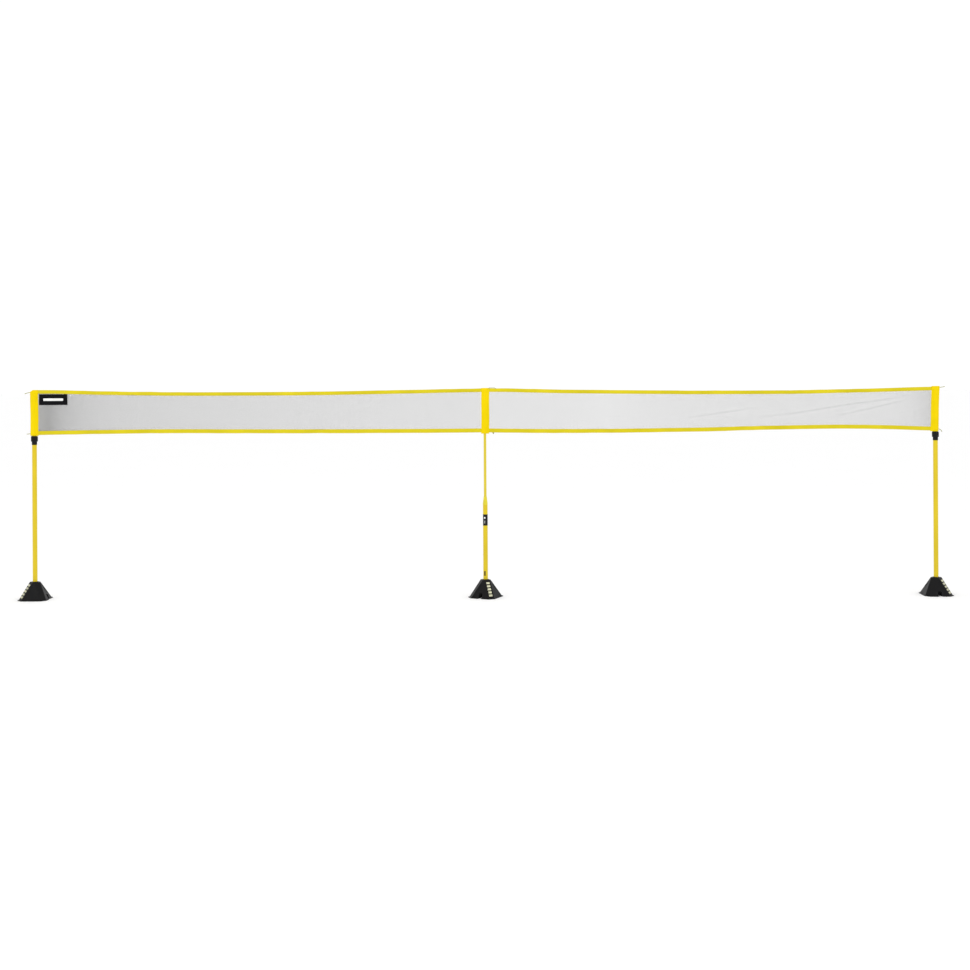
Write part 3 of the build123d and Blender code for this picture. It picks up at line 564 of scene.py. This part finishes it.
top_cord = nurbs("net_top_cord", TOP_CORD, 0.002, "cord")
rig.ride(top_cord, "net"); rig.replaces(top_cord, "top_cord"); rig.slot(top_cord, "cord")
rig.cord(top_cord, exit=tuple(c / 1000 for c in TOP_CORD[0]), length=5.56, diameter=0.004,
        far_end="bare", stiffness="limp", lay="taut")
bottom_cord = nurbs("net_bottom_cord", BOTTOM_CORD, 0.002, "cord")
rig.ride(bottom_cord, "net"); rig.replaces(bottom_cord, "bottom_cord"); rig.slot(bottom_cord, "cord")
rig.cord(bottom_cord, exit=tuple(c / 1000 for c in BOTTOM_CORD[0]), length=5.56, diameter=0.004,
        far_end="bare", stiffness="limp", lay="taut")


# ------------------------------------------------------------------ net cloth
CREASES = [
    [(1150, 1066.0), (1269, 1082.6), (1700, 1143.0)],
    [(1440, 1053.0), (1583, 1068.9), (1903, 1103.5), (2187, 1150.3), (2375, 1173.5), (2690, 1229.0)],
    [(1980, 1050.0), (2109, 1078.2), (2640, 1195.0)],
]


def crease_offset(x, z, width=0.0045):
    """(signed distance above the nearest crease in Z, strength) at each point."""
    best_d = np.full(x.shape, 9.0)
    best_w = np.zeros(x.shape)
    for line in CREASES:
        lx = np.array([p[0] for p in line]) / 1000
        lz = np.array([p[1] for p in line]) / 1000
        zz = np.interp(x, lx, lz)
        length = lx[-1] - lx[0]
        fade = np.clip((x - lx[0]) / (0.45 * length), 0, 1) * np.clip((lx[-1] - x) / (0.35 * length), 0, 1)
        fade = np.where((x < lx[0]) | (x > lx[-1]), 0, fade * fade * (3 - 2 * fade))
        d = z - zz
        w = fade * np.exp(-(d / width) ** 2)
        near = w > best_w
        best_w = np.where(near, w, best_w)
        best_d = np.where(near, d, best_d)
    return best_d, best_w


def billow(x, z, x0, x1, zb, zt, phase, creased):
    """How far the cloth stands off its plane, as Y."""
    u = (x - x0) / (x1 - x0)
    v = (z - zb) / (zt - zb)
    hold = np.clip(np.minimum((np.minimum(v, 1 - v) - 0.025) / 0.12, np.minimum(u, 1 - u) / 0.02), 0, 1)
    y = 0.0022 * np.sin(5.1 * u * math.pi + phase) * np.sin(v * math.pi)
    y += 0.0010 * np.sin(23 * u + 6 * v + phase * 2) + 0.0006 * np.sin(61 * u - 9 * v)
    y = y * hold
    if creased:
        d, w = crease_offset(x, z, 0.007)
        y -= 0.0030 * w * hold
    return y


def net_panel(name, top, bottom, pitch, side, phase, gather=None, creased=False):
    """A knotless square mesh, strand by strand, between the hems."""
    x0, x1 = top[0][0] / 1000, top[-1][0] / 1000
    dense = np.linspace(x0, x1, 4001)
    rate = np.ones_like(dense)
    if gather:
        for gx, amount, reach in gather:
            rate += amount * np.exp(-np.abs(dense - gx) / reach)
    along = np.concatenate([[0], np.cumsum((rate[1:] + rate[:-1]) / 2 * np.diff(dense))])
    count = int(along[-1] / pitch)
    xs = np.interp(np.linspace(0, along[-1], count + 1)[1:-1], along, dense)
    verts, quads = [], []
    ofs = [0]

    def strands(path_points, w, shift):
        """path_points: (strands, stations, 3)."""
        s, k, _ = path_points.shape
        h = w / 2
        tan = np.gradient(path_points, axis=1)
        tan /= np.linalg.norm(tan, axis=2, keepdims=True)
        yax = np.zeros_like(tan)
        yax[..., 1] = 1
        sidev = np.cross(tan, yax)
        sidev /= np.linalg.norm(sidev, axis=2, keepdims=True)
        up = np.cross(sidev, tan)
        p = path_points + up * shift
        ring = np.stack([p + sidev * h + up * h, p - sidev * h + up * h, p - sidev * h - up * h, p + sidev * h - up * h], axis=2)
        base = ofs[0] + np.arange(s)[:, None, None] * (k * 4) + np.arange(k)[None, :, None] * 4 + np.arange(4)[None, None, :]
        a = base[:, :-1, :]
        b = base[:, 1:, :]
        q = np.stack([a, np.roll(a, -1, axis=2), np.roll(b, -1, axis=2), b], axis=-1).reshape(-1, 4)
        caps = np.concatenate([base[:, 0, ::-1], base[:, -1, :]])
        verts.append(ring.reshape(-1, 3))
        quads.append(q)
        quads.append(caps)
        ofs[0] += s * k * 4

    # upright strands
    k = 18 if creased else 14
    v = np.linspace(0, 1, k)
    zt = smooth_line(top, xs) - 0.011 + 0.003
    zb = smooth_line(bottom, xs) + 0.012 - 0.003
    X = np.repeat(xs[:, None], k, axis=1)
    Z = zb[:, None] + (zt - zb)[:, None] * v[None, :]
    Y = billow(X, Z, x0, x1, zb[:, None], zt[:, None], phase, creased)
    strands(np.stack([X, Y, Z], axis=2), side, -side * 0.25)
    # level strands
    rows = int(0.231 / pitch)
    n = 150 if creased else 120
    gx = np.linspace(x0 - 0.005, x1 + 0.005, n)
    ZT = smooth_line(top, gx) - 0.011 + 0.002
    ZB = smooth_line(bottom, gx) + 0.012 - 0.002
    vv = (np.arange(rows) + 0.5) / rows
    Xr = np.repeat(gx[None, :], rows, axis=0)
    Zr = ZB[None, :] + (ZT - ZB)[None, :] * vv[:, None]
    if creased:
        d, w = crease_offset(Xr, Zr, 0.012)
        Zr = Zr - 0.42 * d * w
    Yr = billow(Xr, Zr, x0, x1, ZB[None, :], ZT[None, :], phase, creased)
    strands(np.stack([Xr, Yr, Zr], axis=2), side, side * 0.25)
    return quads_fast(name, np.concatenate(verts), np.concatenate(quads), [M["net"]])


PITCH, SIDE = 0.0036, 0.00078
left_net = net_panel("left_net", TOP_LEFT, BOTTOM_LEFT, PITCH, SIDE, 0.4, gather=[(-2.698, 2.5, 0.15), (-2.698, 1.0, 1.6)])
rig.ride(left_net, "net"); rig.replaces(left_net, "left_mesh"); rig.slot(left_net, "net_mesh")
right_net = net_panel("right_net", TOP_RIGHT, BOTTOM_RIGHT, PITCH, SIDE, 1.9, gather=[(2.698, 0.95, 0.10), (0.72, -0.40, 0.26), (1.9, -0.16, 0.9)], creased=True)
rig.ride(right_net, "net"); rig.replaces(right_net, "right_mesh"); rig.slot(right_net, "net_mesh")


# ------------------------------------------------------------------ hems
def box_set(name, boxes, mat):
    """Small six-sided stitches from (centre, half along, half across, half out) vectors."""
    verts, quads = [], []
    corner = [(-1, -1, -1), (1, -1, -1), (1, 1, -1), (-1, 1, -1), (-1, -1, 1), (1, -1, 1), (1, 1, 1), (-1, 1, 1)]
    face = [(0, 3, 2, 1), (4, 5, 6, 7), (0, 1, 5, 4), (1, 2, 6, 5), (2, 3, 7, 6), (3, 0, 4, 7)]
    for c, a, b, d in boxes:
        k = len(verts)
        for i, j, l in corner:
            t = 0.62 if l > 0 else 1.0      # rounded off on top
            verts.append(np.asarray(c) + np.asarray(a) * i * t + np.asarray(b) * j * t + np.asarray(d) * l)
        quads += [tuple(k + q for q in f) for f in face]
    return quads_fast(name, np.array(verts), np.array(quads), [mat])


def hem_half(z):
    """Half thickness of the folded tape at height z from its centre (metres)."""
    return 0.0013 + 0.00160 * np.exp(-(z / 0.0052) ** 2)


def hem_piece(name, line, height, seed, seam_low):
    x0, x1 = line[0][0] / 1000 - 0.006, line[-1][0] / 1000 + 0.006
    n = 330
    xs = np.linspace(x0, x1, n)
    zc = smooth_line(line, np.clip(xs, line[0][0] / 1000, line[-1][0] / 1000))
    rng = np.random.default_rng(seed)
    h = height / 2
    prof = []
    zz = np.linspace(-h, h, 13)
    for z in zz:
        prof.append((-1, z))
    for z in zz[::-1]:
        prof.append((1, z))
    m = len(prof)
    pucker = np.interp(np.arange(n), np.arange(0, n + 6, 3), rng.normal(0, 1, len(np.arange(0, n + 6, 3))))
    edge_wave = np.interp(np.arange(n), np.arange(0, n + 12, 7), rng.normal(0, 1, len(np.arange(0, n + 12, 7))))
    seam = -h + 0.0035 if seam_low else h - 0.0035
    verts, uv = [], []
    for i, x in enumerate(xs):
        for j, (sgn, z) in enumerate(prof):
            t = hem_half(z) * (1 + 0.10 * pucker[i] * (1 if sgn < 0 else -0.6))
            t *= 1 - 0.25 * math.exp(-((z - seam) / 0.0011) ** 2)     # pulled in along the stitching
            if abs(abs(z) - h) < 1e-6:
                t *= 0.80
            y = sgn * t + 0.0004 * edge_wave[i] * (z / h)
            verts.append((x, y, zc[i] + z + 0.00035 * edge_wave[i] * (abs(z) / h)))
            uv.append((x, z * (1.0 if sgn < 0 else -1.0) + (0.05 if sgn > 0 else 0)))
    faces = []
    for i in range(n - 1):
        for j in range(m):
            a, b = i * m + j, i * m + (j + 1) % m
            faces.append((a, b, b + m, a + m))
    faces.append(tuple(range(m))[::-1])
    faces.append(tuple((n - 1) * m + j for j in range(m)))
    o = add_mesh(name, verts, faces, [M["hem"]], uv=uv)
    stitches = []
    step = 0.0042
    for x in np.arange(x0 + 0.004, x1 - 0.004, step):
        z0 = float(smooth_line(line, np.array([np.clip(x, line[0][0] / 1000, line[-1][0] / 1000)]))[0])
        z1 = float(smooth_line(line, np.array([np.clip(x + 0.002, line[0][0] / 1000, line[-1][0] / 1000)]))[0])
        d = np.array([0.002, 0, z1 - z0])
        d = d / np.linalg.norm(d)
        for sgn in (-1, 1):
            y = sgn * (hem_half(seam) * 0.77 + 0.0001)
            stitches.append(((x, y, z0 + seam), d * 0.00155, np.cross(d, (0, 1, 0)) * 0.00024, np.array([0, sgn * 0.00028, 0])))
    s = box_set(name + "_stitches", stitches, M["thread"])
    return o, s


left_sewn, right_sewn = [], []
for node, line, height, seed, low in (
    ("left_top_hem", TOP_LEFT, 0.022, 1, True), ("right_top_hem", TOP_RIGHT, 0.022, 2, True),
    ("left_bottom_hem", BOTTOM_LEFT, 0.024, 3, False), ("right_bottom_hem", BOTTOM_RIGHT, 0.024, 4, False),
):
    o, s = hem_piece("tape_" + node, line, height, seed, low)
    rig.ride(o, "net"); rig.replaces(o, node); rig.slot(o, "hem_fabric")
    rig.ride(s, "net"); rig.slot(s, "hem_fabric")
    (left_sewn if node.startswith("left") else right_sewn).extend([o, s])


# ------------------------------------------------------------------ sleeves
def sleeve_piece(name, px, z1, pole_r, top_hem_z, bottom_hem_z, cord_z, cord_out, seed, slope=0.0, shift_foot=0.0, shift_head=0.0):
    z0 = 0.986
    w = SLEEVE_W / 2
    rng = np.random.default_rng(seed)
    r = pole_r + 0.0010
    nx, nz = 23, 76
    s = np.linspace(-1, 1, nx)
    xs = w * np.sign(s) * np.abs(s) ** 1.15
    zlev = z0 + (z1 - z0) * np.linspace(0, 1, nz)
    xt = r * r / w
    yt = math.sqrt(r * r - xt * xt)

    def support(x):
        a = abs(x)
        arc = math.sqrt(max(r * r - a * a, 0)) if a < xt else yt * (w - a) / (w - xt)
        return arc

    waves = [(rng.uniform(40, 170), rng.uniform(-60, 60), rng.uniform(0, 6.28), rng.uniform(0.00010, 0.00034)) for _ in range(9)]
    verts, uv = [], []
    for i, z in enumerate(zlev):
        t_top = min(1.0, max(0.0, (z1 - z) / 0.020))
        close = 0.20 + 0.80 * (t_top * t_top * (3 - 2 * t_top))
        for front in (True, False):
            for j, x in enumerate(xs if front else xs[::-1]):
                seam = 0.0011 + 0.0020 * math.exp(-((z - top_hem_z) / 0.011) ** 4) + 0.0020 * math.exp(-((z - bottom_hem_z) / 0.012) ** 4)
                edge = (abs(x) / w) ** 6
                y = support(x) * close + seam * (0.35 + 0.65 * edge)
                k = (1 - (x / w) ** 2)
                wrinkle = sum(a * math.sin(fx * x * 2.2 + fz * z * 1.6 + ph) for fx, fz, ph, a in waves)
                pull = math.exp(-(z - z0) / 0.05) + math.exp(-(z1 - z) / 0.05)
                y += wrinkle * k * (0.45 + 1.2 * pull)
                if not front:
                    y += cord_out * (k ** 0.7) * math.exp(-((z - cord_z) / 0.0075) ** 2)
                # turned-up bottom edge
                if z < z0 + 0.010:
                    y += 0.0005
                zz = z
                if slope and i > nz * 0.55:
                    zz -= slope * max(0.0, (-x / w - 0.30) / 0.70) * ((i / (nz - 1) - 0.55) / 0.45) ** 3
                lean = shift_foot + (shift_head - shift_foot) * (z - z0) / (z1 - z0)
                xx = px + x + 0.0006 * math.sin(31 * z + seed) * (abs(x) / w) + lean * (abs(x) / w) ** 1.5
                verts.append((xx, -y if front else y, zz))
                uv.append((x + (0.1 if not front else 0), z))
    m = 2 * nx
    faces = []
    for i in range(nz - 1):
        for j in range(m):
            a, b = i * m + j, i * m + (j + 1) % m
            faces.append((a, b, b + m, a + m))
    # the closed top seam
    top = (nz - 1) * m
    for j in range(nx - 1):
        faces.append((top + j, top + j + 1, top + m - 2 - j, top + m - 1 - j))
    o = add_mesh(name, verts, faces, [M["sleeve"]], uv=uv)
    mod = o.modifiers.new("cloth_thickness", "SOLIDIFY")
    mod.thickness = 0.0008
    mod.offset = -1.0
    # seam stitching down both edges and across the foot
    st = []
    for front in (-1, 1):
        for side in (-1, 1):
            for z in np.arange(z0 + 0.004, z1 - 0.004 - (slope if side < 0 else 0), 0.0040):
                x = side * (w - 0.0042)
                i = int(round((z - z0) / (z1 - z0) * (nz - 1)))
                row = np.array(verts[i * m:(i + 1) * m])
                half = row[:nx] if front < 0 else row[nx:]
                order = np.argsort(half[:, 0])
                y = float(np.interp(px + x, half[order, 0], half[order, 1]))
                st.append(((px + x, y, z), (0, 0, 0.0014), (0.00024, 0, 0), (0, front * 0.00030, 0)))
        for z in (z0 + 0.0085,):
            i = int(round((z - z0) / (z1 - z0) * (nz - 1)))
            row = np.array(verts[i * m:(i + 1) * m])
            half = row[:nx] if front < 0 else row[nx:]
            order = np.argsort(half[:, 0])
            for x in np.arange(-w + 0.006, w - 0.006, 0.0040):
                y = float(np.interp(px + x, half[order, 0], half[order, 1]))
                st.append(((px + x, y, z), (0.0014, 0, 0), (0, 0, 0.00024), (0, front * 0.00030, 0)))
    s = box_set(name + "_stitches", st, M["thread"])
    return o, s


for node, px, z1, pr, th, bh, cz, out, seed, slope, foot, head in (
    ("left_sleeve", -POST_X, 1.2638, 0.0112, 1.252, 1.0036, 1.0010, 0.0050, 11, 0.011, 0.0015, -0.0005),
    ("middle_sleeve", 0.0, 1.2618, 0.0086, 1.2485, 1.0050, 1.0050, 0.0046, 12, 0.0, 0.0022, 0.0036),
    ("right_sleeve", POST_X, 1.2596, 0.0112, 1.2442, 1.0025, 1.0006, 0.0050, 13, 0.0, -0.0060, 0.0020),
):
    o, s = sleeve_piece("cloth_" + node, px, z1, pr, th, bh, cz, out, seed, slope, foot, head)
    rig.ride(o, "net"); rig.replaces(o, node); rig.slot(o, "sleeve_fabric")
    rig.ride(s, "net"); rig.slot(s, "sleeve_fabric")
    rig.sheet(o, flat=(0.104, 0.276), held="stretched", rests_on=[node.replace("sleeve", "upper_tube")], with_pieces=[s])


# ------------------------------------------------------------------ patch on the left panel
def rounded(cx, cz, hw, hh, r, seg=6):
    pts = []
    for qx, qz, a0 in ((1, -1, -90), (1, 1, 0), (-1, 1, 90), (-1, -1, 180)):
        for k in range(seg + 1):
            a = math.radians(a0 + 90 * k / seg)
            pts.append((cx + qx * (hw - r) + r * math.cos(a), cz + qz * (hh - r) + r * math.sin(a)))
    return pts


def slab(outline, y_back, y_front, bevel=0.0003):
    """Vertices and faces of a flat slab with a softened front edge; y_front < y_back."""
    c = np.mean(np.array(outline), axis=0)
    n = len(outline)
    rings = []
    for y, k in ((y_back, 0.0), (y_front + bevel, 0.0), (y_front, bevel)):
        ring = []
        for p in outline:
            v = np.array(p) - c
            q = np.array(p) - v / max(np.linalg.norm(v), 1e-9) * k
            ring.append((q[0], y, q[1]))
        rings.append(ring)
    verts = [p for ring in rings for p in ring]
    faces = []
    for k in range(2):
        for i in range(n):
            a, b = k * n + i, k * n + (i + 1) % n
            faces.append((a, b, b + n, a + n))
    faces.append(tuple(2 * n + i for i in range(n)))
    faces.append(tuple(range(n))[::-1])
    return verts, faces


def join(parts):
    verts, faces, mats = [], [], []
    for (v, f), mi in parts:
        k = len(verts)
        verts += v
        faces += [tuple(k + i for i in q) for q in f]
        mats += [mi] * len(f)
    return verts, faces, mats


pcx, pcz, phw, phh = -2.607, 1.2047, 0.0857, 0.0325
parts = [(slab(rounded(pcx, pcz, phw, phh, 0.002), -0.0006, -0.0019, 0.0004), 0)]
# one plain printed stripe
parts.append((slab(rounded(pcx, pcz, 0.0600, 0.0075, 0.0030), -0.0018, -0.00215, 0.0001), 1))
v, f, mi = join(parts)
patch = add_mesh("sewn_patch", v, f, [M["patch"], M["white"]], smooth=False, face_mats=mi,
                 uv=[(p[0], p[2]) for p in v])
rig.ride(patch, "net"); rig.replaces(patch, "net_patch"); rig.slot(patch, "patch_fabric")
st = []
for x in np.arange(-phw + 0.005, phw - 0.004, 0.0034):
    for z in (-phh + 0.003, phh - 0.003):
        st.append(((pcx + x, -0.0019, pcz + z), (0.0012, 0, 0), (0, 0, 0.0002), (0, -0.00028, 0)))
for z in np.arange(-phh + 0.005, phh - 0.004, 0.0034):
    for x in (-phw + 0.003, phw - 0.003):
        st.append(((pcx + x, -0.0019, pcz + z), (0, 0, 0.0012), (0.0002, 0, 0), (0, -0.00028, 0)))
ps = box_set("sewn_patch_stitches", st, M["black_thread"])
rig.ride(ps, "net"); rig.slot(ps, "patch_fabric")


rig.sheet(left_net, flat=(0.245, 2.69), held="stretched", rests_on=["left_upper_tube", "middle_upper_tube"],
         with_pieces=left_sewn + [patch, ps])
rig.sheet(right_net, flat=(0.245, 2.69), held="stretched", rests_on=["middle_upper_tube", "right_upper_tube"],
         with_pieces=right_sewn)


# ------------------------------------------------------------------ cord details beside the middle post
lash_pts = [(22, -2.0, 1257.5), (26, -2.4, 1261.6), (36, -0.8, 1262.7), (46, 0.2, 1262.0), (56, -0.8, 1262.4), (64, -2.4, 1260.8), (68, -3.6, 1256.0)]
lashing = nurbs("top_cord_lashing", lash_pts, 0.0016, "cord")
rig.ride(lashing, "net"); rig.replaces(lashing, "top_lashing"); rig.slot(lashing, "cord")


def knot_points():
    pts = []
    for k in range(26):
        t = 2 * math.pi * k / 25
        pts.append((51 + 3.0 * (math.sin(t) + 1.4 * math.sin(2 * t)) * 0.75,
                    1.9 * -math.sin(3 * t) * 0.9,
                    988.4 + 3.0 * (math.cos(t) - 1.4 * math.cos(2 * t)) * 0.62))
    return pts


knot = nurbs("bottom_cord_knot", knot_points(), 0.0013, "cord")
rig.ride(knot, "net"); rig.replaces(knot, "bottom_knot"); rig.slot(knot, "cord")


# ------------------------------------------------------------------ wrap label on the middle post
def wrap(name):
    r0, r1, z0, z1 = 0.01405, 0.01448, 0.4312, 0.4988
    n = 64
    prof = [(r0, z0), (r1 - 0.0001, z0), (r1, z0 + 0.0003), (r1, z1 - 0.0003), (r1 - 0.0001, z1), (r0, z1)]
    verts, faces, mats = [], [], []
    for i in range(n):
        a = 2 * math.pi * i / n
        for r, z in prof:
            verts.append((r * math.cos(a), r * math.sin(a), z))
    m = len(prof)
    for i in range(n):
        for j in range(m):
            a, b = i * m + j, i * m + (j + 1) % m
            c, d = ((i + 1) % n) * m + (j + 1) % m, ((i + 1) % n) * m + j
            faces.append((a, d, c, b))
            mats.append(0)
    # plain printed bars on the front, curved with the tube
    for zc, hh, half in ((0.4480, 0.0014, 17), (0.4580, 0.0014, 17), (0.4780, 0.0048, 19)):
        k = len(verts)
        seg = 12
        r = r1 + 0.00012
        for i in range(seg + 1):
            a = math.radians(-108 - half + 2 * half * i / seg)
            for rr, z in ((r1 - 0.0001, zc - hh), (r, zc - hh + 0.0004), (r, zc + hh - 0.0004), (r1 - 0.0001, zc + hh)):
                verts.append((rr * math.cos(a), rr * math.sin(a), z))
        for i in range(seg):
            for j in range(4):
                a, b = k + i * 4 + j, k + i * 4 + (j + 1) % 4
                faces.append((a, a + 4, b + 4, b))
                mats.append(1)
        faces.append((k, k + 1, k + 2, k + 3)); mats.append(1)
        e = k + seg * 4
        faces.append((e + 3, e + 2, e + 1, e)); mats.append(1)
    return add_mesh(name, verts, faces, [M["film"], M["white"]], face_mats=mats)


label = wrap("post_wrap_label")
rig.ride(label, "posts"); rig.replaces(label, "middle_label"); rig.slot(label, "label_film")


# ------------------------------------------------------------------ stage and light
def plane(name, size, z, colour):
    me = bpy.data.meshes.new(name)
    me.from_pydata([(-size, -size, z), (size, -size, z), (size, size, z), (-size, size, z)], [], [(0, 1, 2, 3)])
    o = bpy.data.objects.new(name, me)
    bpy.context.scene.collection.objects.link(o)
    m = Nodes(name + "_material")
    c = m.ramp(m.noise(m.coords("Object"), 0.7, 3.0), [(0.3, shade(colour, 0.995)), (0.7, colour)])
    m.l(c, m.b.inputs["Base Color"])
    m.b.inputs["Roughness"].default_value = 0.9
    m.b.inputs["Specular IOR Level"].default_value = 0.1
    me.materials.append(m.mat)
    return o


floor = plane("floor", 60.0, -0.0005, (0.97, 0.97, 0.97))
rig.stage(floor)

world = bpy.data.worlds.new("studio")
bpy.context.scene.world = world
world.use_nodes = True
world.node_tree.nodes["Background"].inputs["Color"].default_value = (1.0, 1.0, 1.0, 1)
world.node_tree.nodes["Background"].inputs["Strength"].default_value = 1.03


def area(name, loc, target, size, power, colour=(1, 1, 1)):
    d = bpy.data.lights.new(name, "AREA")
    d.shape = "RECTANGLE"
    d.size, d.size_y = size
    d.energy = power
    d.color = colour
    o = bpy.data.objects.new(name, d)
    o.location = loc
    o.rotation_mode = "QUATERNION"
    o.rotation_quaternion = (Vector(target) - Vector(loc)).to_track_quat("-Z", "Y")
    bpy.context.scene.collection.objects.link(o)
    return o


area("key", (-3.5, -6.0, 5.0), (0, 0, 0.8), (5, 3), 55)
area("fill", (4.5, -5.0, 3.5), (0, 0, 0.8), (4, 3), 20)

lo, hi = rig.bounds()
with open("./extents.json", "w") as fh:
    json.dump({"cad": [[float(c) for c in v] for v in CAD_BOX], "visual": [[float(c) for c in lo], [float(c) for c in hi]]}, fh)
